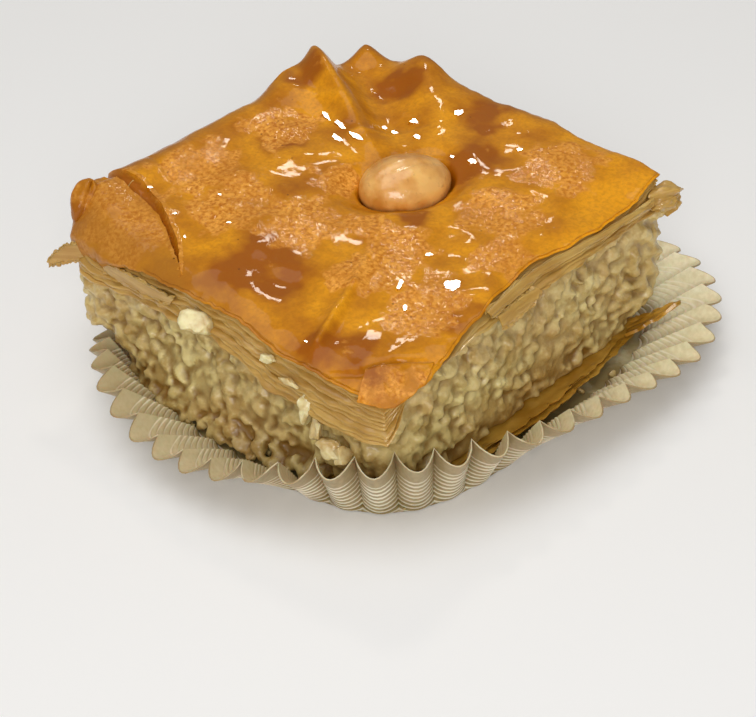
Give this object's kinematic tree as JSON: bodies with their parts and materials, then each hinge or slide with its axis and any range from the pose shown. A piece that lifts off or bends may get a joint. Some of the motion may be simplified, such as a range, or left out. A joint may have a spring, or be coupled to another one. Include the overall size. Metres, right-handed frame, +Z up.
{
  "type": "baklava",
  "caption": "Square of nut baklava with a glazed browned phyllo top and a whole blanched nut, sitting in its own fluted round paper case.",
  "frame": {"origin": "middle of the paper case's flat underside, below the centre of the pastry", "axes": "+Z up, with the pastry's cut sides facing X and Y and its lowest top corner towards +X, -Y"},
  "size_m": [0.0904, 0.0929, 0.0346],
  "materials": {
    "greaseproof_paper": "thin waxed paper, slightly see-through, with syrup stains",
    "browned_phyllo": "browned phyllo soaked with syrup",
    "chopped_nuts": "moist finely chopped nuts",
    "glazed_phyllo": "browned phyllo under a thin wet syrup glaze",
    "blanched_nut": "roasted blanched nut with a thin glaze"
  },
  "bodies": {
    "root": {"paper_case": "greaseproof_paper", "bottom_phyllo": "browned_phyllo", "nut_filling": "chopped_nuts", "top_phyllo": "glazed_phyllo", "top_nut": "blanched_nut"}
  },
  "joints": []
}
